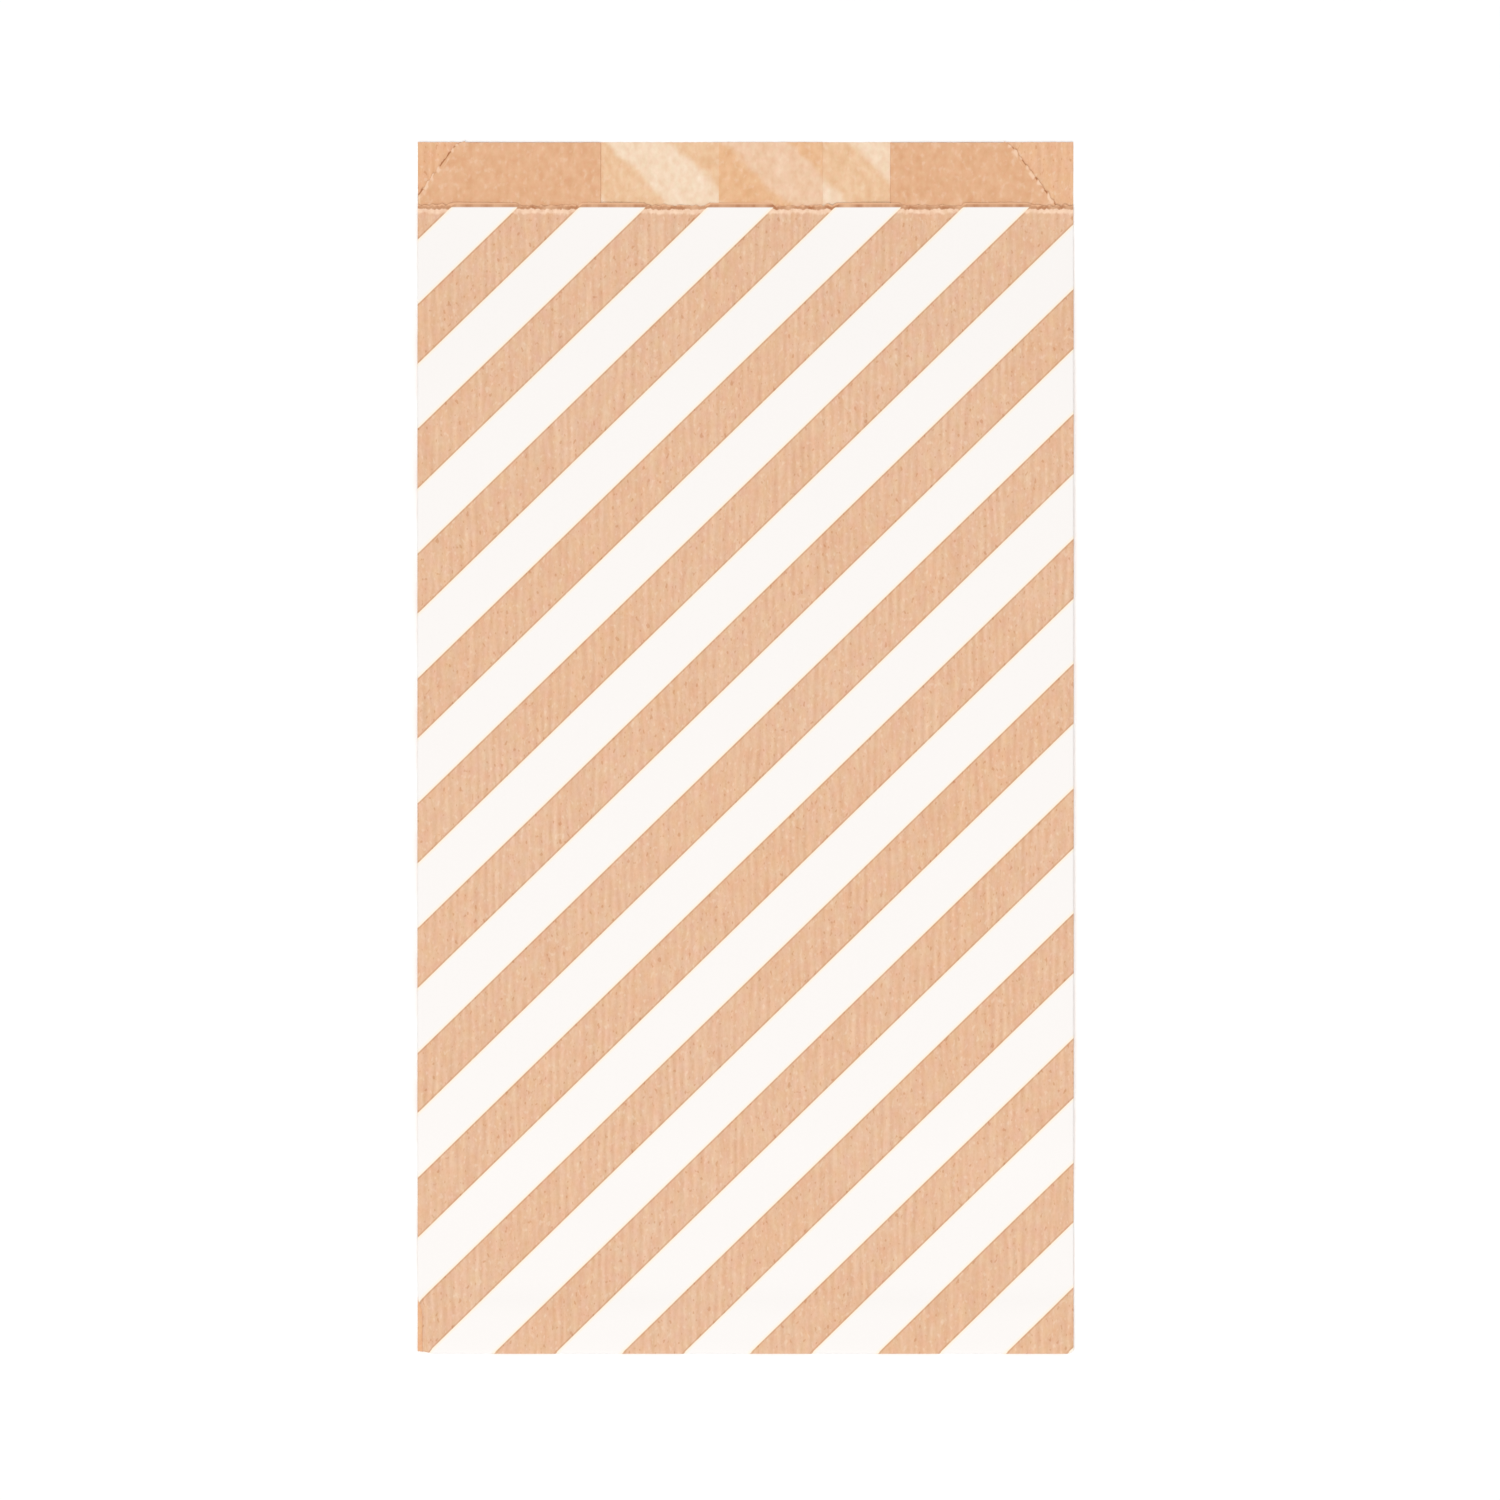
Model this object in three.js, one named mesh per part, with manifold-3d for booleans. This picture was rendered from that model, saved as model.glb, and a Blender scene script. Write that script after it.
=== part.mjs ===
// Flat paper bag with side gussets, empty and lying on its back: one web of ribbed kraft paper,
// folded into a flat tube, glued along a lapped back seam, torn off along a stepped line of
// serrations, and closed by folding its bottom end over once onto the back.
// Millimetres. X runs across the bag, +Y towards its mouth, +Z up out of the front panel.
// The origin is the middle of the footprint, at the height of the surface that the bag lies on.
import * as THREE from "three";
import { mergeVertices } from "three/addons/utils/BufferGeometryUtils.js";
import Module from "manifold-3d";

// Size of the bag
const bagWidth = 120; // across the side folds
const bagLength = 222; // from the bottom fold to the back panel's top edge
const lipHeight = 12.2; // how far the back panel stands above the front panel
const gussetDepth = 33.5; // from a side fold in to its gusset's inner fold
const bottomFlap = 20; // the front panel's tail, folded over and glued to the back
const paper = 0.1; // thickness of the sheet

// The lapped seam down the back
const seamLap = 19; // width of the overlap
const seamCentre = 4.6; // how far the lap's middle lies to the right of the bag's
const seamJog = 3; // width over which the inner web edge climbs onto the outer one
const glueFilm = 0.02; // thickness of the glue between the two layers
const glueMargin = 2; // dry strip along each edge of a glued area

// How close the layers lie
const looseSpacing = 0.5; // middle of one layer to middle of the next, in the body
const pressedSpacing = 0.14; // the same at the pressed bottom fold
const frontSag = 0.45; // how far the front panel dips between the gussets' inner folds
const foldGap = 0.1; // between the back panel and the flap that is folded onto it
const pressLength = 22; // over which the body's layers close up towards the bottom fold
const settleLength = 14; // over which the back panel comes down from the flap to the surface
const stepLength = 3; // over which it comes down past the back's own tail

// The stepped tear line, the same at the mouth and at the tail
const leftStep = 2.3; // how far it jumps up along the left side fold
const rightFoot = 2.75; // how far it stays low past the right side fold, in the gusset
const tearAngle = THREE.MathUtils.degToRad(53.5); // how steeply it climbs through both gussets
const toothPitch = 1.8;
const toothDepth = 0.35;

// Fineness of the curves
const foldSegments = 6; // of each half-round paper fold
const bottomSegments = 8; // of the bottom fold
const settleSegments = 5; // of the back panel's slope down from the flap
const frontSegments = 8; // across the front panel's dip
const spare = 2; // how far a cutting prism runs past the paper
const cutOverlap = 0.01; // how far two stacked cutting prisms run into each other

const halfWidth = bagWidth / 2;
const halfLength = bagLength / 2;
const innerFold = halfWidth - gussetDepth;
const layers = 4; // back, gusset's rear half, gusset's front half, front
const pressedStack = (layers - 1) * pressedSpacing + paper;
const frontTop = halfLength - lipHeight;

const seamLeft = seamCentre - seamLap / 2;
const seamRight = seamCentre + seamLap / 2;
const lappedBack = 2 * paper + glueFilm;

// Where the bottom fold turns, and how much of the web's length it takes up
const turnY = -halfLength + foldGap / 2 + pressedStack;
const turnLength = (Math.PI * (foldGap + pressedStack)) / 2;
const backTail = bottomFlap - lipHeight;
const frontTailY = turnY - turnLength - bottomFlap;
const backTailY = turnY - turnLength - backTail;

const wasm = await Module();
wasm.setup();

// Evenly spaced values from one end to the other, both included.
function evenly(start, end, count) {
  return Array.from({ length: count + 1 }, (_, i) => THREE.MathUtils.lerp(start, end, i / count));
}

// Height of a layer's middle above the back panel's outer face; layer 0 is the back.
function level(layer, spacing) {
  return paper / 2 + layer * spacing;
}

// The web's centre line in section, from its inner edge in the seam, round the tube, to its outer edge.
function webCentreLine() {
  const back = level(0, looseSpacing);
  const rear = level(1, looseSpacing);
  const fore = level(2, looseSpacing);
  const front = level(3, looseSpacing);
  const radius = looseSpacing / 2;
  const outer = halfWidth - paper / 2 - radius;
  const inner = innerFold + paper / 2 + radius;
  const line = new THREE.Path();
  line.moveTo(seamRight, back + paper + glueFilm);
  line.lineTo(seamLeft, back + paper + glueFilm);
  line.lineTo(seamLeft - seamJog, back);
  line.absarc(-outer, (back + rear) / 2, radius, -Math.PI / 2, Math.PI / 2, true);
  line.absarc(-inner, (rear + fore) / 2, radius, -Math.PI / 2, Math.PI / 2, false);
  line.absarc(-outer, (fore + front) / 2, radius, -Math.PI / 2, Math.PI / 2, true);
  for (const x of evenly(-innerFold, innerFold, frontSegments)) line.lineTo(x, front);
  line.absarc(outer, (fore + front) / 2, radius, Math.PI / 2, -Math.PI / 2, true);
  line.absarc(inner, (rear + fore) / 2, radius, Math.PI / 2, -Math.PI / 2, false);
  line.absarc(outer, (back + rear) / 2, radius, Math.PI / 2, -Math.PI / 2, true);
  line.lineTo(seamLeft, back);
  return distinct(line.getPoints(foldSegments / 2));
}

// The points of a path without the repeats where one stretch meets the next.
function distinct(points) {
  return points.filter((p, i) => i === 0 || p.distanceTo(points[i - 1]) > 1e-6);
}

// A strip of the given thickness along a line, as a closed outline.
function stripOutline(line, thickness) {
  const side = (sign) =>
    line.map((p, i) => {
      const before = line[Math.max(i - 1, 0)];
      const after = line[Math.min(i + 1, line.length - 1)];
      const entering = p.clone().sub(before).normalize();
      const leaving = after.clone().sub(p).normalize();
      const along = entering.clone().add(leaving).normalize();
      const reach = thickness / 2 / Math.cos(halfTurn(entering, leaving));
      return new THREE.Vector2(p.x - sign * along.y * reach, p.y + sign * along.x * reach);
    });
  return new THREE.Shape([...side(1), ...side(-1).reverse()]);
}

// Half the angle between two directions, or none at a line's end, where one of them is missing.
function halfTurn(a, b) {
  if (a.lengthSq() === 0 || b.lengthSq() === 0) return 0;
  return Math.acos(THREE.MathUtils.clamp(a.dot(b), -1, 1)) / 2;
}

// A closed three.js geometry as a solid. Each triangle counts as a face of its own, so that the
// creases across a flat stretch of paper outlast the cuts and joins.
function solidOf(geometry) {
  const bare = geometry.clone();
  bare.deleteAttribute("normal");
  bare.deleteAttribute("uv");
  const merged = mergeVertices(bare, 1e-5);
  const triVerts = new Uint32Array(merged.index.array);
  return new wasm.Manifold(
    new wasm.Mesh({
      numProp: 3,
      vertProperties: merged.attributes.position.array,
      triVerts,
      faceID: Uint32Array.from({ length: triVerts.length / 3 }, (_, i) => i),
    }),
  );
}

// A section in X and height, drawn out along the web through the given places in Y: one step of
// the extrusion for each stretch of paper, moved to where that stretch ends.
function drawnOut(section, places) {
  const steps = places.length - 1;
  const body = new THREE.ExtrudeGeometry(section, { depth: steps, steps, bevelEnabled: false });
  const { position } = body.attributes;
  for (let i = 0; i < position.count; i++) {
    const step = steps - Math.round(position.getZ(i));
    position.setXYZ(i, position.getX(i), places[step], position.getY(i));
  }
  return solidOf(body);
}

// A prism over an outline in X and Y, between two heights.
function prism(points, low, high) {
  const body = new THREE.ExtrudeGeometry(new THREE.Shape(points), {
    depth: high - low,
    bevelEnabled: false,
  });
  body.translate(0, 0, low);
  return solidOf(body);
}

// The places along the web where the paper bends or its edge begins, from the tail to the mouth.
function bendPlaces() {
  const tailEdge = turnY + backTail;
  const flapEdge = turnY + bottomFlap;
  return [
    frontTailY - spare,
    frontTailY + toothPitch,
    backTailY - stepLength,
    ...evenly(turnY - turnLength, turnY, bottomSegments),
    ...evenly(tailEdge, tailEdge + stepLength, 2),
    ...evenly(flapEdge, flapEdge + settleLength, settleSegments),
    flapEdge + pressLength,
    frontTop - toothPitch,
    halfLength,
  ];
}

// The tube before its ends are trimmed: the folded web and the glue in its seam.
function straightTube() {
  const web = drawnOut(stripOutline(webCentreLine(), paper), bendPlaces());
  const bite = glueFilm / 2;
  const film = new THREE.Shape([
    new THREE.Vector2(seamLeft + glueMargin, paper - bite),
    new THREE.Vector2(seamRight - glueMargin, paper - bite),
    new THREE.Vector2(seamRight - glueMargin, paper + glueFilm + bite),
    new THREE.Vector2(seamLeft + glueMargin, paper + glueFilm + bite),
  ]);
  return web.add(drawnOut(film, bendPlaces()));
}

// Teeth of uneven height along a straight stretch of the tear line, its far end left out.
function toothed(from, to) {
  const length = from.distanceTo(to);
  const count = Math.max(2, 2 * Math.round(length / toothPitch));
  const along = to.clone().sub(from).normalize();
  const across = new THREE.Vector2(-along.y, along.x);
  return Array.from({ length: count }, (_, i) => {
    const ragged = 0.65 + 0.35 * Math.sin(2.7 * i) * Math.cos(1.3 * i + 0.6);
    const rise = i === 0 ? 0 : (i % 2 ? 0.5 : -0.5) * toothDepth * ragged;
    return from
      .clone()
      .addScaledVector(along, (i / count) * length)
      .addScaledVector(across, rise);
  });
}

// The tear line in X and Y for one end of the bag. low is the Y of its stretch across the front;
// its ends climb through the gussets' front halves, where the web runs back towards the middle.
function tearLine(low) {
  const high = low + lipHeight;
  const slope = Math.tan(tearAngle);
  const leftTop = -halfWidth + (lipHeight - leftStep) / slope;
  const rightStart = halfWidth - rightFoot;
  const rightTop = rightStart - lipHeight / slope;
  const at = (x, y) => new THREE.Vector2(x, y);
  return {
    front: [
      at(-halfWidth - spare, low),
      ...toothed(at(-halfWidth, low), at(halfWidth, low)),
      at(halfWidth, low),
      at(halfWidth + spare, low),
    ],
    left: [
      at(-halfWidth - spare, low + leftStep),
      ...toothed(at(-halfWidth, low + leftStep), at(leftTop, high)),
      at(leftTop, high),
    ],
    right: [
      at(rightTop, high),
      ...toothed(at(rightTop, high), at(rightStart, low)).slice(1),
      at(rightStart, low),
      at(halfWidth + spare, low),
    ],
  };
}

// Closes a line into an outline by way of the given Y, straight out from both its ends.
function closedBy(line, y) {
  const first = line[0];
  const last = line[line.length - 1];
  return [...line, new THREE.Vector2(last.x, y), new THREE.Vector2(first.x, y)];
}

// Cuts the lip at the mouth and the steps at the tail, while the tube is still straight.
function trimmed(tube) {
  const belowFront = (level(2, looseSpacing) + level(3, looseSpacing)) / 2;
  const belowFore = (level(1, looseSpacing) + level(2, looseSpacing)) / 2;
  const above = level(3, looseSpacing) + paper + spare;
  const mouth = tearLine(frontTop);
  const tail = tearLine(frontTailY);
  const mouthY = halfLength + spare;
  const tailY = frontTailY - 2 * spare;
  const at = (x, y) => new THREE.Vector2(x, y);
  const foreTail = [
    ...tail.left,
    at(-innerFold + spare, backTailY),
    at(innerFold - spare, backTailY),
    ...tail.right,
  ];
  const backEdge = [at(-halfWidth - spare, backTailY), at(halfWidth + spare, backTailY)];
  return [
    prism(closedBy(mouth.front, mouthY), belowFront, above),
    prism(closedBy(mouth.left, mouthY), belowFore, belowFront + cutOverlap),
    prism(closedBy(mouth.right, mouthY), belowFore, belowFront + cutOverlap),
    prism(closedBy(tail.front, tailY), belowFront, above),
    prism(closedBy(foreTail, tailY), belowFore, belowFront + cutOverlap),
    prism(closedBy(backEdge, tailY), -spare, belowFore + cutOverlap),
  ].reduce((rest, cutter) => rest.subtract(cutter), tube);
}

// A solid's mesh as plain points and triangles.
function openMesh(solid) {
  const { numProp, numVert, vertProperties, triVerts } = solid.getMesh();
  const points = Array.from({ length: numVert }, (_, i) =>
    Array.from(vertProperties.subarray(i * numProp, i * numProp + 3)),
  );
  const triangles = Array.from({ length: triVerts.length / 3 }, (_, i) =>
    Array.from(triVerts.subarray(3 * i, 3 * i + 3)),
  );
  return { points, triangles };
}

// A smooth step from 0 to 1 as value goes from start to end.
function eased(value, start, end) {
  const share = THREE.MathUtils.clamp((value - start) / (end - start), 0, 1);
  return share * share * (3 - 2 * share);
}

// Spacing of the layers at a place along the web.
function spacingAt(y) {
  const pressed = eased(y, turnY + bottomFlap + pressLength, turnY + bottomFlap);
  return THREE.MathUtils.lerp(looseSpacing, pressedSpacing, pressed);
}

// A height in the straight tube, moved to where it lies once the layers have closed up. The
// paper keeps its thickness and only the gaps between layers shrink.
function closedUp(x, height, spacing) {
  const inGusset = Math.abs(x) > innerFold - spare;
  const bands = (inGusset ? [0, 1, 2, 3] : [0, 3]).map((layer) => ({
    low: layer * looseSpacing,
    high: layer * looseSpacing + (layer || inGusset ? paper : lappedBack),
    shift: layer * (spacing - looseSpacing),
  }));
  const over = bands.findIndex((band) => height <= band.high + 1e-6);
  if (over < 0) return height + bands[bands.length - 1].shift;
  if (over === 0 || height >= bands[over].low) return height + bands[over].shift;
  const under = bands[over - 1];
  const share = (height - under.high) / (bands[over].low - under.high);
  return height + THREE.MathUtils.lerp(under.shift, bands[over].shift, share);
}

// How far the front panel dips at a place across and along the bag.
function sagAt(x, y, height) {
  const across = 1 - eased(Math.abs(x), 0, innerFold);
  const along = eased(y, turnY + bottomFlap, turnY + bottomFlap + pressLength);
  const frontOnly = eased(height, lappedBack, level(3, looseSpacing) - paper / 2);
  return frontSag * across * along * frontOnly;
}

// Height of the body's back panel above the surface, over and past the folded flap.
function backHeight(y) {
  const overStack = pressedStack + foldGap;
  const overTail = pressedSpacing + paper + foldGap;
  const tailEdge = turnY + backTail;
  const flapEdge = turnY + bottomFlap;
  const step = (overStack - overTail) * (1 - eased(y, tailEdge, tailEdge + stepLength));
  const rest = overTail * (1 - eased(y, flapEdge, flapEdge + settleLength));
  return step + rest;
}

// Takes a point of the straight tube to its place in the finished bag.
function folded([x, y, height]) {
  const lying = closedUp(x, height, spacingAt(y)) - sagAt(x, y, height);
  if (y >= turnY) return [x, y, backHeight(y) + lying];
  const past = turnY - y;
  const radius = foldGap / 2 + lying;
  const centreZ = pressedStack + foldGap / 2;
  if (past < turnLength) {
    const turn = (Math.PI * past) / turnLength;
    return [x, turnY - radius * Math.sin(turn), centreZ + radius * Math.cos(turn)];
  }
  return [x, turnY + past - turnLength, centreZ - radius];
}

// The glue that holds the flap's single-layer tail to the back panel.
function flapGlue() {
  const bite = paper / 4;
  const halfGlue = innerFold + gussetDepth / 2;
  const from = turnY + backTail + stepLength + glueMargin;
  const to = turnY + bottomFlap - glueMargin;
  const at = (x, y) => new THREE.Vector2(x, y);
  const outline = [at(-halfGlue, from), at(halfGlue, from), at(halfGlue, to), at(-halfGlue, to)];
  return prism(outline, paper - bite, backHeight((from + to) / 2) + bite);
}

// A solid as a three.js geometry.
function geometryOf({ points, triangles }) {
  return new THREE.BufferGeometry()
    .setAttribute("position", new THREE.Float32BufferAttribute(points.flat(), 3))
    .setIndex(triangles.flat());
}

// The whole bag: a straight tube, trimmed at both ends, folded over at its bottom and glued there.
function bagGeometry() {
  const flat = openMesh(trimmed(straightTube()));
  const bag = solidOf(geometryOf({ ...flat, points: flat.points.map(folded) }));
  const glued = geometryOf(openMesh(bag.add(flapGlue())));
  glued.computeVertexNormals();
  return glued;
}

const kraft = new THREE.MeshStandardMaterial({ color: 0xe9b990, roughness: 0.85, metalness: 0 });
const bag = new THREE.Mesh(bagGeometry(), kraft);
bag.name = "paper_bag";

const flatPaperBag = new THREE.Group();
flatPaperBag.add(bag);
export default flatPaperBag;
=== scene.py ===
# %% [markdown]
# # A flat paper bag
# A food bag as it comes off the stack: one web of ribbed kraft paper, printed with white
# diagonal stripes, folded into a tube with a gusset down each side, torn off along a stepped saw
# line, and closed by folding its bottom end over onto its back. The real one is made flat and
# then folded, and so is this one: the web starts as a grid, its print lives in its UV map, and
# the folding only moves its vertices.

# %% The frame that the bag fits
import bisect
import math

import bmesh
import bpy
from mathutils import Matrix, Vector, noise


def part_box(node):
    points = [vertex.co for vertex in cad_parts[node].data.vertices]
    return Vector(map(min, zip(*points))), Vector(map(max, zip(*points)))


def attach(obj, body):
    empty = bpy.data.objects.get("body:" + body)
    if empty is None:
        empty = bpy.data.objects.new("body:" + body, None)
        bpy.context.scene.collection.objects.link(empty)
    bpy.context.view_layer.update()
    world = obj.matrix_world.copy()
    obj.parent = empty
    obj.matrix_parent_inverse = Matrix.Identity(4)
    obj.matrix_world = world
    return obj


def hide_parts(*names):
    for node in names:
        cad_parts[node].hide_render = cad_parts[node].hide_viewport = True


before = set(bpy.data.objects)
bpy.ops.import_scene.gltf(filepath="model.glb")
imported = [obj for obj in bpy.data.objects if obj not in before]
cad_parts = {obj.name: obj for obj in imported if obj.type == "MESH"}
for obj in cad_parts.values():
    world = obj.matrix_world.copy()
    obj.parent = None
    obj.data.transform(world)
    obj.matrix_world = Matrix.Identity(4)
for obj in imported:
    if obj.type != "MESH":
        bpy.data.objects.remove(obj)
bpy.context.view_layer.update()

mm = 0.001
low, high = (Vector(corner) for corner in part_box("paper_bag"))
half_width = (high.x - low.x) / 2
half_length = (high.y - low.y) / 2
print(f"bag {2 * half_width / mm:.1f} by {2 * half_length / mm:.1f} mm, {high.z / mm:.2f} mm thick")

# %% [markdown]
# ## The camera
# The photograph looks straight down on the bag, from so far off that no side of it shows, so a
# long lens goes high above it. Its picture is square: the width that it takes in at the height
# of the paper sets how far up the camera has to be.

# %% A camera straight above
picture_width = 274.2 * mm
aim = Vector((0.81, -0.50, 0)) * mm  # the bag lies a hair off the picture's middle
lens = 120
sensor = 36
camera_data = bpy.data.cameras.new("overhead")
camera_data.lens = lens
camera_data.sensor_width = sensor
camera = bpy.data.objects.new("overhead", camera_data)
camera.location = aim + Vector((0, 0, high.z + picture_width * lens / sensor))
bpy.context.scene.collection.objects.link(camera)
bpy.context.scene.camera = camera
print(f"camera {camera.location.z:.3f} m up")

# %% [markdown]
# ## Sizes of the folded bag
# A gusset puts four layers of paper over each other along each side: the back, the gusset's rear
# half, its front half and the front. In the body they lie loosely on each other. At the bottom
# fold the folding rollers have pressed them flat, and towards the mouth they close up again.

# %% Sizes
paper = 0.1 * mm
gusset_depth = 33.5 * mm
lip_height = 12.2 * mm
bottom_flap = 20 * mm
seam_left = -4.9 * mm
seam_right = 14.1 * mm
seam_jog = 3 * mm
lap_lift = 0.12 * mm  # one paper and the glue under it
loose_spacing = 0.5 * mm
pressed_spacing = 0.14 * mm
mouth_spacing = 0.2 * mm
fold_gap = 0.1 * mm
front_sag = 0.55 * mm
mouth_sag = 0.2 * mm
middle_sag = 0.2 * mm
middle_width = 8 * mm
press_length = 22 * mm
close_length = 35 * mm
settle_length = 14 * mm
step_length = 3 * mm

inner_fold = half_width - gusset_depth
pressed_stack = 3 * pressed_spacing + paper
front_top = half_length - lip_height
turn_y = -half_length + fold_gap / 2 + pressed_stack
turn_length = math.pi * (fold_gap + pressed_stack) / 2
front_tail = turn_y - turn_length - bottom_flap
web_length = front_top - front_tail

# %% [markdown]
# ## Across the web
# From its inner edge in the back seam the web runs round to its outer edge through eight flat
# stretches, with a half-round fold between each two, and a slope where the inner edge climbs
# onto the outer one. A column of the grid needs five numbers: its place u on the flat web,
# measured from the middle of the front, its x once folded, which layer it lies in, how much of
# the loose space between the layers is under it, and how far glue lifts it. The inner folds are
# creased hard, so a gusset's halves have no loose space under them there. A flat takes a column
# every two millimetres and one more close to each end, and a fold takes eight to look round.

# %% Columns of the web, from its inner edge to its outer edge
fold_radius = loose_spacing / 2
fold_allowance = paper + loose_spacing  # what a fold takes of the web
outer_x = half_width - fold_allowance / 2
inner_x = inner_fold + fold_allowance / 2
flat_step = 2 * mm
flat_margin = 0.5 * mm
fold_columns = 8

flats = [  # x from and to, the layer, the loose spaces under its start and its end, glue
    (seam_right, seam_left, 0, 0, 0, lap_lift),
    (seam_left - seam_jog, -outer_x, 0, 0, 0, 0),
    (-outer_x, -inner_x, 1, 1, 0, 0),
    (-inner_x, -outer_x, 2, 0, 2, 0),
    (-outer_x, outer_x, 3, 3, 3, 0),
    (outer_x, inner_x, 2, 2, 0, 0),
    (inner_x, outer_x, 1, 0, 1, 0),
    (outer_x, seam_left, 0, 0, 0, 0),
]


def mixed(a, b, share):
    """The value between a and b at the given share of the way."""
    return a + (b - a) * share


def fold_round(columns, x, level, slack):
    """Adds the columns inside the half-round fold from the last flat to one at the given layer."""
    u, last_x, last_level, last_slack, _ = columns[-1]
    bulge = 1 if last_x > columns[-2][1] else -1
    for i in range(1, fold_columns):
        turn = math.pi * i / fold_columns
        climb = (1 - math.cos(turn)) / 2
        columns.append((
            u + fold_allowance * i / fold_columns,
            x + bulge * fold_radius * math.sin(turn),
            mixed(last_level, level, climb),
            mixed(last_slack, slack, climb),
            0,
        ))


def web_columns():
    """All columns of the web, with their places measured from the middle of the front."""
    columns = []
    u = 0
    for x_from, x_to, level, slack_from, slack_to, lift in flats:
        if columns and abs(columns[-1][1] - x_from) < paper:
            u = columns[-1][0] + fold_allowance
            fold_round(columns, x_from, level, slack_from)
        elif columns:
            u = columns[-1][0] + seam_jog
        length = abs(x_to - x_from)
        margin = flat_margin / length
        steps = math.ceil((length - 2 * flat_margin) / flat_step)
        for share in (0, *(mixed(margin, 1 - margin, i / steps) for i in range(steps + 1)), 1):
            x = mixed(x_from, x_to, share)
            slack = mixed(slack_from, slack_to, share)
            columns.append((u + length * share, x, level, slack, lift))
    front_middle = next(column[0] for column in columns if column[2] == 3) + outer_x
    return [(column[0] - front_middle, *column[1:]) for column in columns]


columns = web_columns()
column_places = [column[0] for column in columns]

# %% [markdown]
# ## The print on the flat web
# The stripes are printed before the web is folded or torn, so they are settled first. A stripe's
# edge rises by about its own width across the web. Their places are kept in millimetres, because
# the materials read them too. The two halves of the back were printed a little out of step with
# the front.

# %% Where the stripes lie
stripe_pitch = 22.825  # along the web
stripe_slope = 0.975
stripe_offset = 12.53
left_back_shift = -8.4
right_back_shift = -10.2
kraft_middle = 15.48
kraft_half = 5.47
stripe_blur = 0.5
back_from = (half_width + 2 * gusset_depth) / mm  # where a gusset ends and the back starts


def eased(value, start, end):
    """A smooth step from 0 to 1 as value goes from start to end."""
    share = min(max((value - start) / (end - start), 0), 1)
    return share * share * (3 - 2 * share)


def kraft_share(u, v):
    """1 in a kraft stripe of the front, 0 on the ink, and in between close to the edge."""
    place = (stripe_slope * u / mm + stripe_offset - v / mm) % stripe_pitch
    away = abs(place - kraft_middle)
    return eased(away, kraft_half + stripe_blur, kraft_half - stripe_blur)


# %% [markdown]
# ## Along the web
# Each bag is torn off over the same stepped saw. Its line runs low across the front, climbs
# through the gussets' front halves and runs high across the rest, so the back ends up with a lip
# above the front at the mouth, and the front with a tail below the back at the bottom. The high
# stretch is cut clean. The low one is torn: where it is printed it breaks straight, and bare
# kraft gives way a little lower, in small points with frayed fibres between them.

# %% The tear line
left_step = 2.3 * mm  # how far the tear jumps up along the left side fold
right_foot = half_width + 2.75 * mm
tear_slope = math.tan(math.radians(53.5))
ink_rise = 0.85 * mm
kraft_rise = 0.4 * mm
tooth_pitch = 1.5 * mm
tooth_height = 0.26 * mm
tooth_strength = 0.6
tooth_unevenness = 1.2
diagonal_pitch = 0.95 * mm
diagonal_height = 0.6 * mm
fray_height = 0.3 * mm
fray_length = 0.7 * mm
drift_length = 6 * mm
clean_wave = 0.05 * mm
clean_drop = 0.22 * mm
gusset_drop = 0.1 * mm  # how much lower still the layers over the back end


def uneven(u, length, run):
    """Noise from -1 to 1 along u, in waves of about the given length. Each run is another one."""
    return noise.noise(Vector((u / length, run, 0)))


def climb_at(u):
    """How far the tear line has climbed at u above its low stretch across the front."""
    if u < -half_width:
        climb = left_step + (-half_width - u) * tear_slope
    else:
        climb = max(u - right_foot, 0) * tear_slope
    return min(climb, lip_height)


def mouth_at(u):
    """Where the web ends at the mouth, without the teeth."""
    return front_top + climb_at(u)


def tooth_at(u, pitch):
    """A saw tooth's share of its height, from -0.5 to 0.5, with teeth of uneven strength."""
    strength = tooth_strength + tooth_unevenness * uneven(u, 3 * pitch, 3.1)
    return (abs((u / pitch) % 1 - 0.5) * 2 - 0.5) * max(strength, 0)


def ragged(u, v):
    """How far the torn edge stands out from its line at a place on the web."""
    fray = uneven(u, fray_length, 7.7)
    if climb_at(u) == lip_height:
        over_back = eased(abs(u), half_width + 2 * gusset_depth, half_width + gusset_depth)
        return clean_wave * fray - clean_drop - gusset_drop * over_back
    if abs(u) > half_width:
        return tooth_at(u, diagonal_pitch) * diagonal_height + fray * fray_height
    drift = uneven(u, drift_length, 1.3)
    kraft = kraft_share(u, v)
    torn = kraft_rise + tooth_at(u, tooth_pitch) * tooth_height + (fray + drift) * fray_height
    straight = ink_rise + clean_wave * (fray + 2 * drift)
    return mixed(straight, torn, kraft)


# %% Rows of the web, from its tail to its mouth
mouth_margin = 4 * mm  # this far below the front's top the rows start to follow the tear line
turn_margin = 1 * mm  # and this far past the bottom fold
body_top = front_top - mouth_margin
body_bottom = turn_y - turn_length - turn_margin
end_rows = 5
turn_rows = 10
flap_step = 1.6 * mm
body_step = 3 * mm


def evenly(start, end, step):
    """Places from start up to and without end, about a step apart."""
    count = math.ceil((end - start) / step)
    return [start + (end - start) * i / count for i in range(count)]


settled = turn_y + bottom_flap + settle_length
body_rows = [
    body_bottom,
    *evenly(turn_y - turn_length, turn_y, turn_length / turn_rows),
    *evenly(turn_y, settled, flap_step),
    *evenly(settled, body_top, body_step),
    body_top,
]
row_count = len(body_rows) + 2 * end_rows


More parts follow.
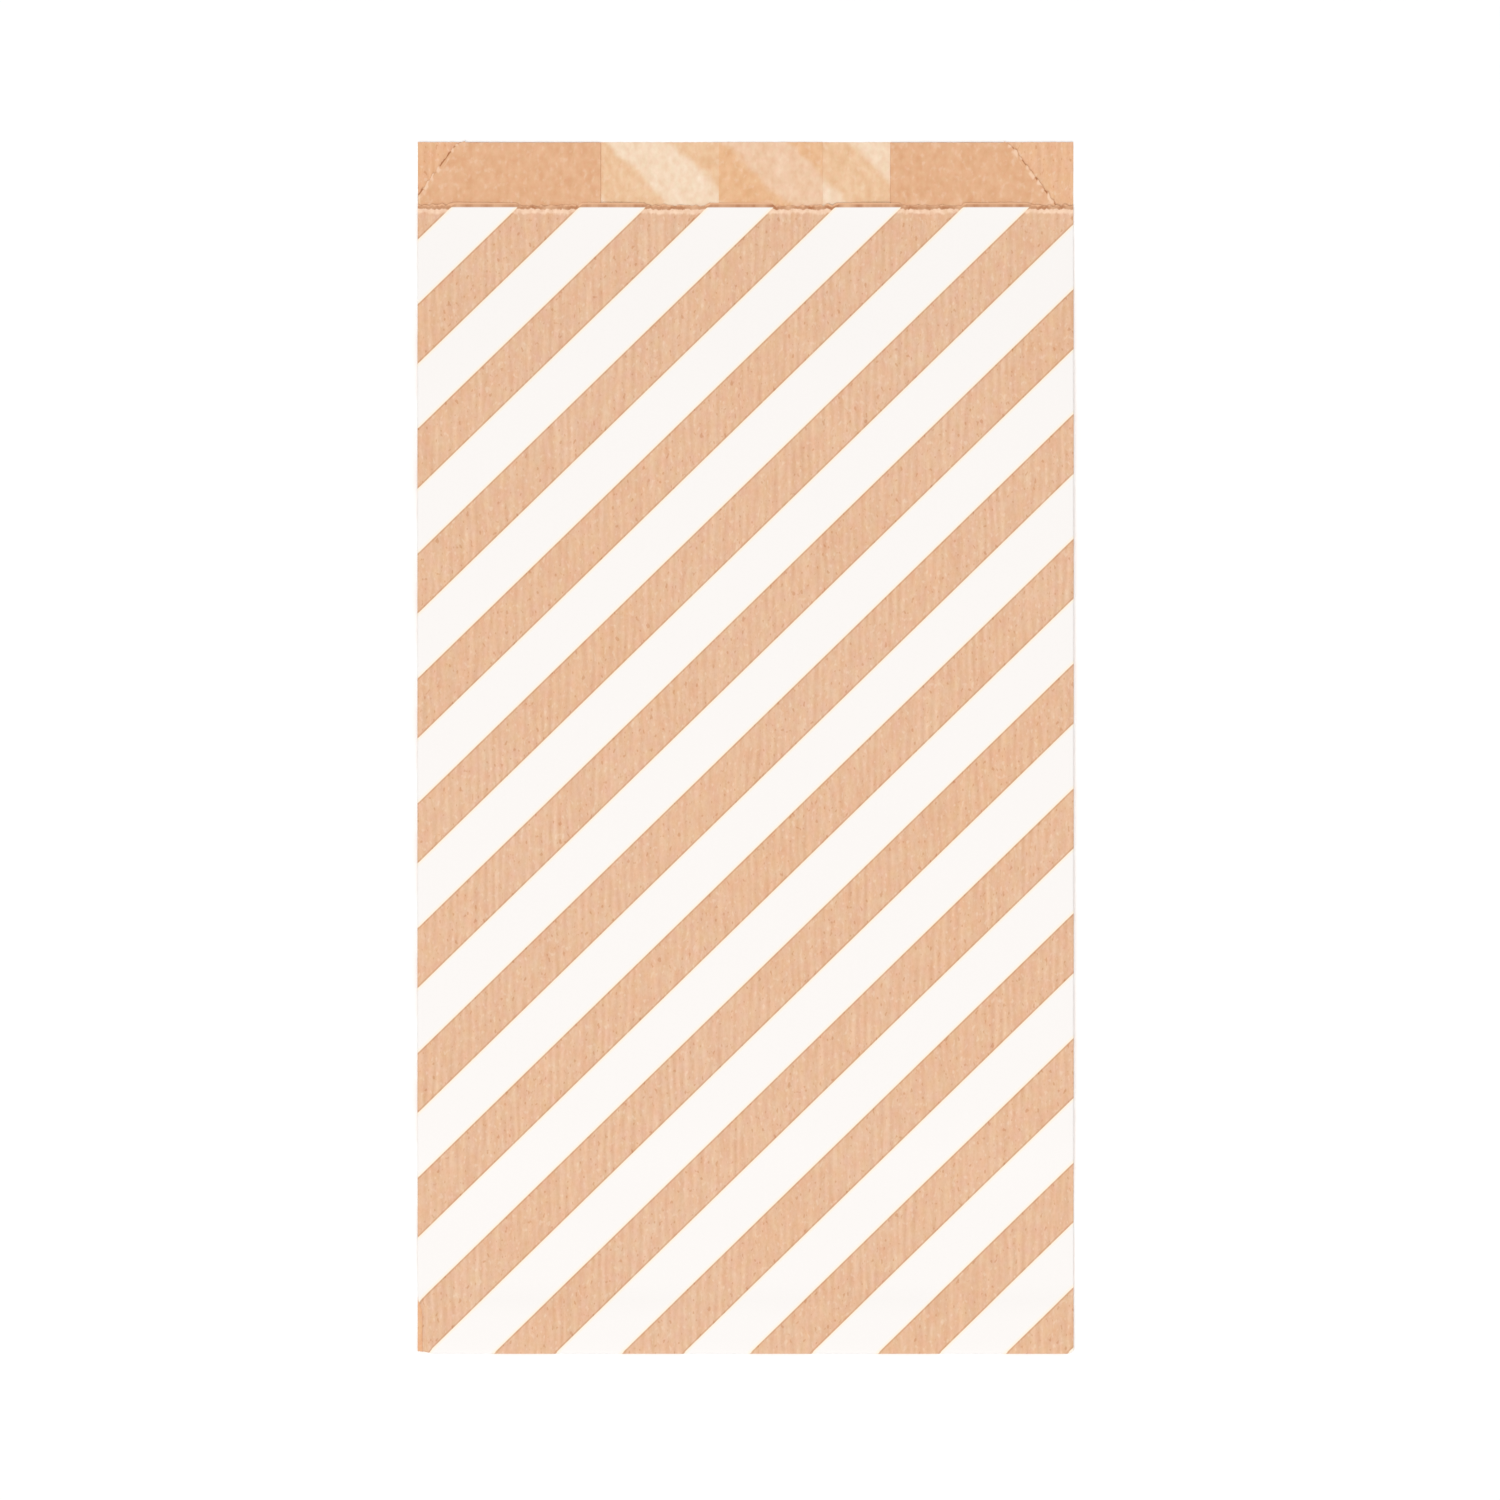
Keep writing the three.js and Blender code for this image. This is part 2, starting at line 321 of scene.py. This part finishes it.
def row_place(row, u):
    """Place along the web of a row's point at u: the rows near the ends follow the tear line."""
    if row < end_rows:
        tail = mouth_at(u) - web_length
        return tail + (body_bottom - tail) * row / end_rows
    if row < end_rows + len(body_rows):
        return body_rows[row - end_rows]
    share = (row - end_rows - len(body_rows) + 1) / end_rows
    return body_top + (mouth_at(u) - body_top) * share


# %% [markdown]
# ## Cutting the web
# `create_grid` gives a unit square of the right number of columns and rows. Moving each vertex to
# its place on the flat web makes it the printed sheet before any fold. The edges along both ends
# are then cut finer, so that they can carry teeth, and the flat places are kept: as the UV map
# that the print reads, and as attributes that say how near an end is and whether it is torn.

# %% The flat, printed web
tear_cuts = 9
close = 1e-6  # two places nearer than this are the same

web = bmesh.new()
bmesh.ops.create_grid(web, x_segments=len(columns) - 1, y_segments=row_count - 1, size=0.5)
for vert in web.verts:
    column = round((vert.co.x + 0.5) * (len(columns) - 1))
    row = round((vert.co.y + 0.5) * (row_count - 1))
    u = column_places[column]
    vert.co = (u, row_place(row, u), 0)

end_edges = [
    edge for edge in web.edges
    if edge.is_boundary and abs(edge.verts[0].co.x - edge.verts[1].co.x) > close
]
bmesh.ops.subdivide_edges(web, edges=end_edges, cuts=tear_cuts)

# %% Places on the web, kept for the print, and the ragged ends
print_map = web.loops.layers.uv.new("web")
torn_distance = web.verts.layers.float.new("torn_distance")
torn_edge = web.verts.layers.float.new("torn_edge")
for vert in web.verts:
    u, v = vert.co.xy
    from_mouth = mouth_at(u) - v
    from_tail = v - (mouth_at(u) - web_length)
    vert[torn_distance] = min(from_mouth, from_tail) / mm
    vert[torn_edge] = climb_at(u) < lip_height
    if from_mouth < close:
        vert.co.y += ragged(u, v)
        vert[torn_distance] = -ragged(u, v) / mm
    elif from_tail < close:
        vert.co.y += ragged(u, v)
        vert[torn_distance] = ragged(u, v) / mm
for face in web.faces:
    for loop in face.loops:
        loop[print_map].uv = (loop.vert.co.x / mm, loop.vert.co.y / mm)
flat_area = sum(face.calc_area() for face in web.faces)
print(f"flat web: {flat_area * 1e6:.0f} square mm, {len(web.faces)} faces")

# %% [markdown]
# ## Folding
# Folding is a function: it takes a place on the flat web to its place in the bag. Across, a point
# goes to its column's x and layer. Along, the layers close up towards the bottom fold, go round
# it, and lie face down under the back. The back itself rides over the flap and comes down to the
# table past it. Two small flaws of handling are in it too: close to the bottom the front's left
# fold has slipped in over the gusset, and the bottom edge is crushed a little at both corners.

# %% Spacing, sag and height
wave_height = 0.06 * mm
wave_size = (38 * mm, 60 * mm)
curl_height = 0.05 * mm
curl_reach = 3 * mm
curl_patch = 7 * mm
curl_strength = 0.75
ruffle_height = 0.22 * mm
ruffle_length = 0.9 * mm
ruffle_power = 8  # a ruffle keeps close to the edge
tuck_depth = 0.9 * mm  # how far the front's left fold has slipped in, close to the bottom
tuck_width = 1.2 * mm
tuck_start = -100.5 * mm
tuck_end = -103.5 * mm
left_corner = (57.2 * mm, 57.7 * mm)  # where the bottom edge starts and ends its step up
right_corner = (59.5 * mm, 59.9 * mm)
corner_crush = 0.8
flap_edge = turn_y + bottom_flap


def spacing_at(v):
    """Spacing of the layers at a place v along the web."""
    spacing = mixed(loose_spacing, pressed_spacing, eased(v, flap_edge + press_length, flap_edge))
    return mixed(spacing, mouth_spacing, eased(v, front_top - close_length, front_top))


def back_height(v):
    """Height of the back over the flap and past it."""
    over_stack = pressed_stack + fold_gap
    over_tail = pressed_spacing + paper + fold_gap
    tail_edge = flap_edge - lip_height
    step = (over_stack - over_tail) * (1 - eased(v, tail_edge, tail_edge + step_length))
    rest = over_tail * (1 - eased(v, flap_edge, flap_edge + settle_length))
    return step + rest


def front_dip(x, v):
    """How far the front sinks between the gussets, with the slight waves of limp paper."""
    along = eased(v, flap_edge, flap_edge + press_length)
    across = eased(abs(x), outer_x, inner_fold)
    at_mouth = eased(v, front_top - close_length, front_top)
    sag = mixed(front_sag, mouth_sag, at_mouth)
    middle = eased(abs(x), inner_fold, inner_fold - middle_width) * at_mouth * middle_sag
    wave = noise.noise(Vector((x / wave_size[0], v / wave_size[1], 2.4)))
    return along * across * (sag + wave_height * wave + middle)


def tear_curl(u, v):
    """How far a torn edge at the mouth curls and ruffles up off the layer under it."""
    near = 1 - eased(mouth_at(u) - v, 0, curl_reach)
    strength = curl_strength + noise.noise(Vector((u / curl_patch, v / curl_patch, 5.2)))
    loose = kraft_share(u, v) if abs(u) < half_width else 1
    ruffle = loose * max(uneven(u, ruffle_length, 9.4), 0) * near ** ruffle_power
    return near * near * strength * curl_height + ruffle * ruffle_height


# %% The fold itself
def section_at(u):
    """x, layer, slack and glue at the web's point u, from the two columns that it lies between."""
    right = min(max(bisect.bisect_left(column_places, u), 1), len(columns) - 1)
    before, after = columns[right - 1], columns[right]
    share = (u - before[0]) / (after[0] - before[0])
    return tuple(mixed(a, b, share) for a, b in zip(before[1:], after[1:]))


def folded(u, v):
    """Takes a place on the flat web to its place in the finished bag."""
    x, level, slack, lift = section_at(u)
    on_front = eased(level, 2.5, 3)
    torn = climb_at(u) < lip_height
    lift += torn * tear_curl(u, v) - on_front * front_dip(x, v)
    loose = slack * (spacing_at(v) - pressed_spacing)
    lying = paper / 2 + level * pressed_spacing + loose + lift
    past = turn_y - v
    corner = left_corner if x < 0 else right_corner
    reach = 1 - corner_crush * eased(abs(x), *corner)
    tucked = eased(v, tuck_start, tuck_end) * eased(past, turn_length, 0) * eased(level, 1, 2)
    x += tuck_depth * tucked * eased(x, -outer_x + tuck_width, -outer_x)
    if past <= 0:
        return x, v, back_height(v) + lying
    radius = fold_gap / 2 + lying
    centre_z = pressed_stack + fold_gap / 2
    if past < turn_length:
        turn = math.pi * past / turn_length
        return x, turn_y - radius * math.sin(turn) * reach, centre_z + radius * math.cos(turn)
    return x, turn_y + past - turn_length, centre_z - radius


for vert in web.verts:
    vert.co = folded(vert.co.x, vert.co.y)
bmesh.ops.triangulate(web, faces=[face for face in web.faces if len(face.verts) > 4])
for face in web.faces:
    face.smooth = True
for edge in web.edges:
    edge.smooth = not edge.is_boundary

front_z = high.z - 0.7 * mm  # only the front has faces above this, and they have to look up
front_faces = [face for face in web.faces if face.calc_center_median().z > front_z]
if sum(face.normal.z for face in front_faces) < 0:
    bmesh.ops.reverse_faces(web, faces=web.faces)
print(f"{len(web.verts)} vertices folded, {len(front_faces)} faces on the front")

bag_mesh = bpy.data.meshes.new("folded_bag")
web.to_mesh(bag_mesh)
web.free()
bag = bpy.data.objects.new("folded_bag", bag_mesh)
bpy.context.scene.collection.objects.link(bag)

# %% [markdown]
# ## Thickness
# So far the sheet has none. A Solidify modifier gives it a tenth of a millimetre, half to each
# side, and hands its inside and its rim to the next two material slots: the print is only on the
# outside, and a torn edge shows the paper's fibres. The sheet's boundary was marked sharp above,
# so the rim doesn't bend the shading of the broad faces next to it.

# %% The paper's thickness
solidify = bag.modifiers.new("paper thickness", "SOLIDIFY")
solidify.thickness = paper
solidify.offset = 0
solidify.material_offset = 1
solidify.material_offset_rim = 2

# %% [markdown]
# ## Helpers for the finishes
# Colours are written as sRGB hex values, the way they are read off a colour picker, and one
# function turns them to the linear values that Blender mixes. Another adds a node of any kind, and
# three more add the kinds that come up most. The Mix node has sockets for every kind of value, and
# the ones for colours have the numbers below.

# %% Colour and node helpers
SHARE, FIRST, SECOND, MIXED = 0, 6, 7, 2


def colour(code):
    """Linear RGBA of an sRGB hex code."""
    channels = [int(code[i : i + 2], 16) / 255 for i in (0, 2, 4)]
    linear = [c / 12.92 if c <= 0.04045 else ((c + 0.055) / 1.055) ** 2.4 for c in channels]
    return (*linear, 1)


def add(tree, kind, inputs=(), output=0, **settings):
    """Adds a node with its settings, links or sets its inputs, and returns one of its outputs."""
    made = tree.nodes.new(f"ShaderNode{kind}")
    for name, value in settings.items():
        setattr(made, name, value)
    for socket, value in dict(inputs).items():
        if isinstance(value, bpy.types.NodeSocket):
            tree.links.new(value, made.inputs[socket])
        else:
            made.inputs[socket].default_value = value
    return made.outputs[output] if made.outputs else None


def compute(tree, operation, *values):
    """What a Math node makes of the values."""
    return add(tree, "Math", dict(enumerate(values)), operation=operation)


def remap(tree, value, start=(0, 1), end=(0, 1), **settings):
    """A value taken from one range to another, and kept inside that one."""
    return add(tree, "MapRange", {
        "Value": value,
        "From Min": start[0], "From Max": start[1], "To Min": end[0], "To Max": end[1],
    }, **settings)


def blend(tree, share, first, second, kind="MIX"):
    """The first colour with a share of the second over it."""
    colours = {SHARE: share, FIRST: first, SECOND: second}
    return add(tree, "Mix", colours, MIXED, data_type="RGBA", blend_type=kind)


def new_material(name):
    """A material with nothing in it yet, and its node tree."""
    material = bpy.data.materials.new(name)
    material.use_nodes = True
    material.node_tree.nodes.clear()
    return material, material.node_tree


# %% [markdown]
# ## Where print and paper lie
# Every finish reads the web's own places, so a pattern runs round the folds as it does on the
# real sheet. From them come three masks: how far a point is from a stripe's edge, whether it is
# in a gusset, which carries no print, and how near it is to a torn end. Paper's grain is noise,
# drawn out along the web where rollers or ribs have stretched it. In the glued lap the stripes
# that tell are those of the layer under it, so there the print is in step with that one.

# %% Masks and grain
lap_to = (column_places[0] + seam_right - seam_left) / mm  # how far in the lap reaches
overprint = 0.5  # how far the front's print runs round its side folds
grain_range = (0.28, 0.72)  # between which nearly all of a noise's values lie


def web_places(tree):
    """Sockets with both places in millimetres on the flat web, and with u and v by themselves."""
    places = add(tree, "UVMap", uv_map="web")
    split = add(tree, "SeparateXYZ", {0: places}).node
    return places, split.outputs["X"], split.outputs["Y"]


def kept(tree, name):
    """The value that the sheet's points keep under a name."""
    return add(tree, "Attribute", (), "Fac", attribute_name=name)


def gusset_mask(tree, u):
    """1 in the gussets, from where the front's print ends, and 0 on the front and the back."""
    side = compute(tree, "ABSOLUTE", u)
    middle = (half_width + gusset_depth) / mm + overprint / 2
    half = gusset_depth / mm - overprint / 2
    return compute(tree, "COMPARE", side, middle, half)


def past_stripe_edge(tree, u, v):
    """Millimetres along the web from the nearest stripe edge: above 0 on ink, below on kraft."""
    on_left = compute(tree, "LESS_THAN", u, -back_from)
    on_right = compute(tree, "GREATER_THAN", u, back_from)
    in_lap = compute(tree, "LESS_THAN", u, lap_to)
    lap_shift = right_back_shift - left_back_shift
    along = compute(tree, "MULTIPLY_ADD", u, stripe_slope, stripe_offset)
    for mask, shift in (
        (on_left, left_back_shift), (on_right, right_back_shift), (in_lap, lap_shift),
    ):
        along = compute(tree, "MULTIPLY_ADD", mask, shift, along)
    phase = compute(tree, "SUBTRACT", along, v)
    off = compute(tree, "SUBTRACT", phase, kraft_middle)
    from_middle = compute(tree, "WRAP", off, stripe_pitch / 2, -stripe_pitch / 2)
    away = compute(tree, "ABSOLUTE", from_middle)
    return compute(tree, "SUBTRACT", away, kraft_half)


def grain(tree, places, width, length, detail):
    """Noise from 0 to 1 in grains of about the given width and length, in millimetres."""
    stretched = add(tree, "Mapping", {"Vector": places, "Scale": (1 / width, 1 / length, 1)})
    pattern = add(tree, "TexNoise", {"Vector": stretched, "Scale": 1, "Detail": detail})
    return remap(tree, pattern, grain_range)


def shaded(tree, surface, places, layers):
    """A colour with layers of grain over it, each multiplied by its shade where it is strong."""
    for width, length, detail, shade in layers:
        share = grain(tree, places, width, length, detail)
        surface = blend(tree, share, surface, shade, "MULTIPLY")
    return surface


# %% [markdown]
# ## Ribbed kraft
# The outside is machine-glazed kraft with pressed ribs along the web, about one and a half
# millimetres apart. They show as faint upright streaks that come and go: painted shade that follows
# each rib's wave, with a bump of the same wave under it. The pulp between them is blotchy, pinker
# in some places and yellower in others, with a few pale flecks and dark marks.

# %% The paper, with its ribs, flecks and marks
KRAFT = colour("f0d1b6")
KRAFT_BARE = colour("f3cdab")  # in the gussets
KRAFT_GRAIN = [  # width and length in mm, detail, shade
    (0.75, 5, 3, colour("f7f2ed")),
    (1.6, 22, 1, colour("faf7f5")),
    (30, 45, 1, colour("fffbf5")),
    (1.5, 2.4, 2, colour("fffaee")),
    (2.2, 3.0, 2, colour("fff3f7")),
    (0.45, 0.8, 2, colour("f8f4ef")),
]
CHIPS = (0.7, 1.2, 1)  # width and length in mm and detail, here and below
KRAFT_FLECK = colour("fae4cc")
KRAFT_MARK = colour("efe1d6")
fleck_range = (0.75, 1)  # from which values of the grain to which a fleck comes in
mark_range = (0.15, 0)
fleck_strength = 0.25
# painted shade along the ribs, following the same wave as their bump
RIB_PAINTED_SHADE = colour("f5f0eb")
RIB_WANDER = (9, 30, 1)
RIB_STRENGTH = (4, 11, 1)
rib_pitch = 1.52


def ribbed_paper(tree, places, u, gusset):
    """The bare paper's colour with painted shade along its ribs, and the height of its ribs."""
    tone = blend(tree, gusset, KRAFT, KRAFT_BARE)
    tone = shaded(tree, tone, places, KRAFT_GRAIN)

    wander = grain(tree, places, *RIB_WANDER)
    rib_place = compute(tree, "MULTIPLY_ADD", wander, rib_pitch, u)
    rib_turn = compute(tree, "MULTIPLY", rib_place, 2 * math.pi / rib_pitch)
    rib_wave = compute(tree, "COSINE", rib_turn)
    strength = grain(tree, places, *RIB_STRENGTH)
    rib = compute(tree, "MULTIPLY", rib_wave, strength)
    # painted shade: the colour darkens with each rib's wave, standing in for the ribs' shading
    tone = blend(tree, remap(tree, rib, (-1, 1)), tone, RIB_PAINTED_SHADE, "MULTIPLY")

    chips = grain(tree, places, *CHIPS)
    flecks = remap(tree, chips, fleck_range, (0, fleck_strength))
    marks = remap(tree, chips, mark_range)
    tone = blend(tree, flecks, tone, KRAFT_FLECK)
    tone = blend(tree, marks, tone, KRAFT_MARK, "MULTIPLY")
    return tone, rib


# %% [markdown]
# ## The ink
# A matt white ink lies over the paper in broad diagonal stripes on the front and the back, and
# the gussets are left bare. A printing plate squeezes the ink outwards, so a stripe is thin along
# its edges and has a fine dark line next to it.

# %% The ink and the line beside it
EDGE_LINE = colour("f0e8e2")
edge_line_width = 0.2
INK = colour("f6f2ef")
INK_THIN = colour("fbefda")
ink_start = (-0.08, 0.12)  # mm past the stripe's edge, from bare paper to ink
thin_ink = (0.85, 0.1)  # from full ink to thin ink


def ink_layers(tree, past_edge, printed):
    """Where the dark line beside a stripe lies, where the ink lies, and the ink's colour."""
    beside = compute(tree, "COMPARE", past_edge, -edge_line_width, edge_line_width)
    line = compute(tree, "MULTIPLY", beside, printed)
    on_ink = remap(tree, past_edge, ink_start, interpolation_type="SMOOTHSTEP")
    ink = compute(tree, "MULTIPLY", on_ink, printed)
    thin = remap(tree, past_edge, thin_ink)
    return line, ink, blend(tree, thin, INK, INK_THIN)


# %% [markdown]
# ## The torn edge
# Along the torn edge the saw bares the paper's brown core, and its band is darkened with painted
# shade of the gap under the raised edge. On the ink it breaks in an even line, and on bare kraft it
# dips in and out, with pale fibres standing up behind it. Distances here are measured inwards from
# the tear line, so on the points beyond that line they are below zero.

# %% The core with its painted shade, and the fibres along the tear
# the dark brown is the paper's core, and along the tears it is also painted shade of the gap
TORN_CORE_AND_PAINTED_SHADE = colour("ae6f47")
CORE_AND_SHADE_PALE = colour("dcae8a")
CORE_AND_SHADE_PALE_TOP = colour("e6b38c")
TEAR_LINE = (0.9, 3, 2)
CORE_AND_SHADE_PATCH_SIZE = (2.2, 30, 3)
tear_depth = 0.1
tear_unevenness = 0.5
# the band from here to the tear is bared core darkened with painted shade
core_and_shade_start = (0.08, -0.12)  # mm in from the tear, from outside to bared core
core_and_shade_top_range = (-0.75, -0.45)  # from the core's pale upper edge to its full colour
FIBRE = colour("fad9bd")
FIBRE_LUMPS = (0.9, 1.2, 1)
fibre_width = (0.95, 0.55)  # mm in from the tear, from whole paper to raised fibres
fibre_strength = (0.3, 0.95)


def torn_layers(tree, places, tear_here, ink):
    """Where pale fibres and the band of core and painted shade show along a tear, and its colour.
    """
    ragged_line = grain(tree, places, *TEAR_LINE)
    dip = remap(tree, ragged_line, end=(tear_depth, tear_depth + tear_unevenness))
    bare = compute(tree, "SUBTRACT", 1, ink)
    bare_dip = compute(tree, "MULTIPLY", dip, bare)
    from_line = compute(tree, "SUBTRACT", kept(tree, "torn_distance"), bare_dip)

    fibres = compute(tree, "MULTIPLY", remap(tree, from_line, fibre_width), tear_here)
    lumps = grain(tree, places, *FIBRE_LUMPS)
    tufts = remap(tree, lumps, end=fibre_strength)
    fibres = compute(tree, "MULTIPLY", fibres, tufts)

    core_and_shade = compute(tree, "MULTIPLY", remap(tree, from_line, core_and_shade_start), tear_here)
    core_and_shade_patches = grain(tree, places, *CORE_AND_SHADE_PATCH_SIZE)
    core_and_shade_colour = blend(tree, core_and_shade_patches, TORN_CORE_AND_PAINTED_SHADE, CORE_AND_SHADE_PALE)
    core_and_shade_colour = blend(tree, remap(tree, from_line, core_and_shade_top_range), CORE_AND_SHADE_PALE_TOP, core_and_shade_colour)
    return fibres, core_and_shade, core_and_shade_colour


# %% [markdown]
# ## The outside, put together
# The line beside the ink goes over the paper first, then the fibres that the tear raised, then the
# ink, and last the core where the tear took the surface off, darkened with painted shade of the gap
# under the raised edge. The ink is a little smoother than the paper, and the ribs stand out under
# both.

# %% Printed kraft, outside
paper_ior = 1.45
paper_roughness = 0.82
ink_roughness = 0.68


def printed_kraft():
    """The web's outside."""
    material, tree = new_material("ribbed kraft, printed")
    places, u, v = web_places(tree)
    gusset = gusset_mask(tree, u)
    printed = compute(tree, "SUBTRACT", 1, gusset)
    tear_here = compute(tree, "MULTIPLY", printed, kept(tree, "torn_edge"))

    surface, rib = ribbed_paper(tree, places, u, gusset)
    line, ink, ink_colour = ink_layers(tree, past_stripe_edge(tree, u, v), printed)
    fibres, core_and_shade, core_and_shade_colour = torn_layers(tree, places, tear_here, ink)
    surface = blend(tree, line, surface, EDGE_LINE, "MULTIPLY")
    surface = blend(tree, fibres, surface, FIBRE)
    surface = blend(tree, ink, surface, ink_colour)
    # painted shade: the brown band along the tear, partly bared core and partly the gap's shade
    surface = blend(tree, core_and_shade, surface, core_and_shade_colour)

    bump = add(tree, "Bump", {"Height": rib, "Strength": 0.12, "Distance": 0.03 * mm})
    rough = remap(tree, ink, end=(paper_roughness, ink_roughness))
    shader = add(tree, "BsdfPrincipled", {
        "Base Color": surface, "Roughness": rough, "Normal": bump,
        "IOR": paper_ior, "Specular IOR Level": 0.35,
    })
    add(tree, "OutputMaterial", {"Surface": shader})
    return material


# %% [markdown]
# ## The inside of the paper
# Inside the bag the kraft is unglazed and cloudy, without ribs. The sheet is thin enough for
# what lies behind it to tell, and that light through it is painted into the colour: in the lip the
# back is a single layer, so it is painted paler, and the stripes printed on its other face show
# through, mirrored, with edges blurred by the pulp. Over the glued lap there are two layers, and
# over the gussets three, and those are painted darker. Along a torn edge the inside has pale tufts
# of fibre, and small brown dots of painted shade between them.

# %% Bare kraft, inside
# painted light: paler where fewer layers lie over the white floor, paler again over the back's ink
ONE_LAYER_PAINTED_LIGHT = colour("f0cfab")
ONE_LAYER_PAINTED_INK_LIGHT = colour("f8e6ce")
TWO_LAYERS_PAINTED_LIGHT = colour("edc49b")
TWO_LAYERS_PAINTED_INK_LIGHT = colour("f2d4b7")
THREE_LAYERS_PAINTED_LIGHT = colour("e8bd98")
CLOUDS = [  # width and length in mm, detail, shade
    (3.2, 4.2, 2, colour("faf4ec")),
    (1.3, 1.9, 2, colour("f4ece4")),
    (1.0, 1.2, 1, colour("fff6f6")),
]
PULP = (1.1, 1.5, 2)
SPECK = colour("fbe0c8")
speck_range = (0.6, 1)  # from which values of the grain to which a speck comes in
speck_strength = 0.25
EDGE_BLUR = (4.5, 4.5, 3)
blur_width = 2.2
painted_show_through = (0, 2.5)  # mm past the stripe's edge, from bare paper to full ink
TORN_LUMPS = (0.9, 1.4, 0)
frayed_width = (1.5, 0.9)  # mm in from the tear, from whole paper to frayed
tuft_range = (0.35, 0.7)
tuft_strength = 0.6
# painted shade: dark dots between the tufts, where the torn edge has gaps
painted_shade_width = (0.5, 0.3)
painted_shade_range = (0.4, 0.2)
painted_shade_strength = 0.9
inside_roughness = 0.92


def bare_kraft():
    """The web's inside."""
    material, tree = new_material("kraft, inside")
    places, u, v = web_places(tree)

    past_edge = past_stripe_edge(tree, u, v)
    blur = grain(tree, places, *EDGE_BLUR)
    blurred = compute(tree, "MULTIPLY_ADD", blur, blur_width, past_edge)
    # painted light: the stripes on the back's outside showing through the paper
    painted_through = remap(tree, blurred, painted_show_through, interpolation_type="SMOOTHSTEP")
    one_layer_light = blend(tree, painted_through, ONE_LAYER_PAINTED_LIGHT, ONE_LAYER_PAINTED_INK_LIGHT)
    two_layers_light = blend(tree, painted_through, TWO_LAYERS_PAINTED_LIGHT, TWO_LAYERS_PAINTED_INK_LIGHT)
    back = blend(tree, compute(tree, "LESS_THAN", u, lap_to), one_layer_light, two_layers_light)
    surface = blend(tree, gusset_mask(tree, u), back, THREE_LAYERS_PAINTED_LIGHT)
    surface = shaded(tree, surface, places, CLOUDS)

    pulp = grain(tree, places, *PULP)
    specks = remap(tree, pulp, speck_range, (0, speck_strength))

    from_end = kept(tree, "torn_distance")
    torn = kept(tree, "torn_edge")
    lumps = grain(tree, places, *TORN_LUMPS)
    fibres = compute(tree, "MULTIPLY", remap(tree, from_end, frayed_width), torn)
    tufts = remap(tree, lumps, tuft_range, (0, tuft_strength))
    fibres = compute(tree, "MULTIPLY", fibres, tufts)
    # painted shade: dark dots along the torn edge
    painted_shade_dots = remap(tree, lumps, painted_shade_range, (0, painted_shade_strength))
    painted_shade_dots = compute(tree, "MULTIPLY", painted_shade_dots, remap(tree, from_end, painted_shade_width))
    painted_shade_dots = compute(tree, "MULTIPLY", painted_shade_dots, torn)
    surface = blend(tree, specks, surface, SPECK)
    surface = blend(tree, fibres, surface, FIBRE)
    surface = blend(tree, painted_shade_dots, surface, TORN_CORE_AND_PAINTED_SHADE)

    bump = add(tree, "Bump", {"Height": pulp, "Strength": 0.15, "Distance": 0.02 * mm})
    shader = add(tree, "BsdfPrincipled", {
        "Base Color": surface, "Roughness": inside_roughness, "Normal": bump,
        "IOR": paper_ior, "Specular IOR Level": 0.25,
    })
    add(tree, "OutputMaterial", {"Surface": shader})
    return material


# %% [markdown]
# ## The rim
# A tenth of a millimetre of rim shows along the tear. It is the paper's core, brown between paler
# tufts.

# %% Torn fibre, on the sheet's rim
RIM_TUFTS = (0.3, 0.3, 2)
rim_roughness = 0.95


def torn_fibre():
    """The sheet's cut and torn rim."""
    material, tree = new_material("torn paper fibre")
    places, _, _ = web_places(tree)
    tone = blend(tree, grain(tree, places, *RIM_TUFTS), TORN_CORE_AND_PAINTED_SHADE, KRAFT)
    shader = add(tree, "BsdfPrincipled", {
        "Base Color": tone, "Roughness": rim_roughness, "IOR": paper_ior,
    })
    add(tree, "OutputMaterial", {"Surface": shader})
    return material


for material in (printed_kraft(), bare_kraft(), torn_fibre()):
    bag.data.materials.append(material)
print(f"{len(bag.data.materials)} finishes on the bag")

# %% [markdown]
# ## Floor and light
# The bag lies on a plain pale sweep under a large soft light, as in a catalogue picture. The
# floor is a little brighter than the ink, so that the white stripes still read against it.

# %% The floor
floor_size = 3
floor_mesh = bmesh.new()
bmesh.ops.create_grid(floor_mesh, x_segments=1, y_segments=1, size=floor_size / 2)
floor_data = bpy.data.meshes.new("floor")
floor_mesh.to_mesh(floor_data)
floor_mesh.free()
floor = bpy.data.objects.new("floor", floor_data)
bpy.context.scene.collection.objects.link(floor)
floor_material, floor_tree = new_material("matt white card")
floor_shader = add(floor_tree, "BsdfPrincipled", {
    "Base Color": colour("fefefe"), "Roughness": 0.9, "Specular IOR Level": 0.1,
})
add(floor_tree, "OutputMaterial", {"Surface": floor_shader})
floor_data.materials.append(floor_material)

# %% Studio light
def softbox(name, place, size, power):
    """A square light at a place, turned to the bag."""
    light = bpy.data.lights.new(name, "AREA")
    light.size = size
    light.energy = power
    lamp = bpy.data.objects.new(name, light)
    lamp.location = place
    lamp.rotation_euler = (-Vector(place)).to_track_quat("-Z", "Y").to_euler()
    bpy.context.scene.collection.objects.link(lamp)


sky_strength = 0.44
softbox("key", (-0.5, -1.7, 3.2), 2.0, 59)
softbox("top", (0.3, 0.6, 4.0), 4.0, 56)
world = bpy.data.worlds.new("studio")
world.use_nodes = True
background = world.node_tree.nodes["Background"]
background.inputs["Color"].default_value = (1, 1, 1, 1)
background.inputs["Strength"].default_value = sky_strength
bpy.context.scene.world = world
bpy.context.scene.view_settings.view_transform = "Standard"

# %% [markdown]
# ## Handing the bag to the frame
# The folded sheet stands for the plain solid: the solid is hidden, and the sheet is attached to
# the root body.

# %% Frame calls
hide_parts("paper_bag")
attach(bag, "root")
